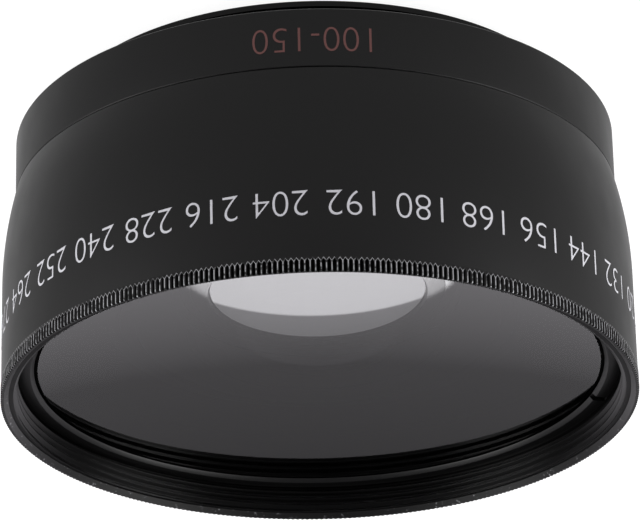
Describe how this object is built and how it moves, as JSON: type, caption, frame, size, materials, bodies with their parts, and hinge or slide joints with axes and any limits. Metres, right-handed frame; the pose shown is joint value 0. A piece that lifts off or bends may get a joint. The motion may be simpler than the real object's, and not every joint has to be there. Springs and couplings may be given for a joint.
{
  "type": "wide-angle conversion lens",
  "caption": "Screw-on wide-angle conversion lens with a knurled front rim, a rear mount thread and a rear close-up unit that screws off.",
  "frame": {"origin": "on the optical axis at the end face of the rear mount thread, which the lens stands on", "axes": "+Z along the optical axis to the front of the lens; -Y is the side with the short numeral group on the rear ring"},
  "size_m": [0.0624, 0.0624, 0.0308],
  "materials": {
    "anodised_barrel": "satin black anodised",
    "anodised_housing": "satin black anodised",
    "black_ring": "black anodised, turned",
    "front_glass": "polished, with a blackened edge",
    "macro_glass": "polished"
  },
  "bodies": {
    "close_up_unit": {"macro_housing": "anodised_housing", "macro_element": "macro_glass", "macro_retaining_ring": "black_ring"},
    "wide_angle_unit": {"front_barrel": "anodised_barrel", "front_element": "front_glass", "front_retaining_ring": "black_ring"}
  },
  "joints": [
    {"name": "wide_angle_unscrew", "type": "slide", "parent": "close_up_unit", "child": "wide_angle_unit", "axis": [0, 0, 1], "range_m": [0, 0.02]}
  ]
}
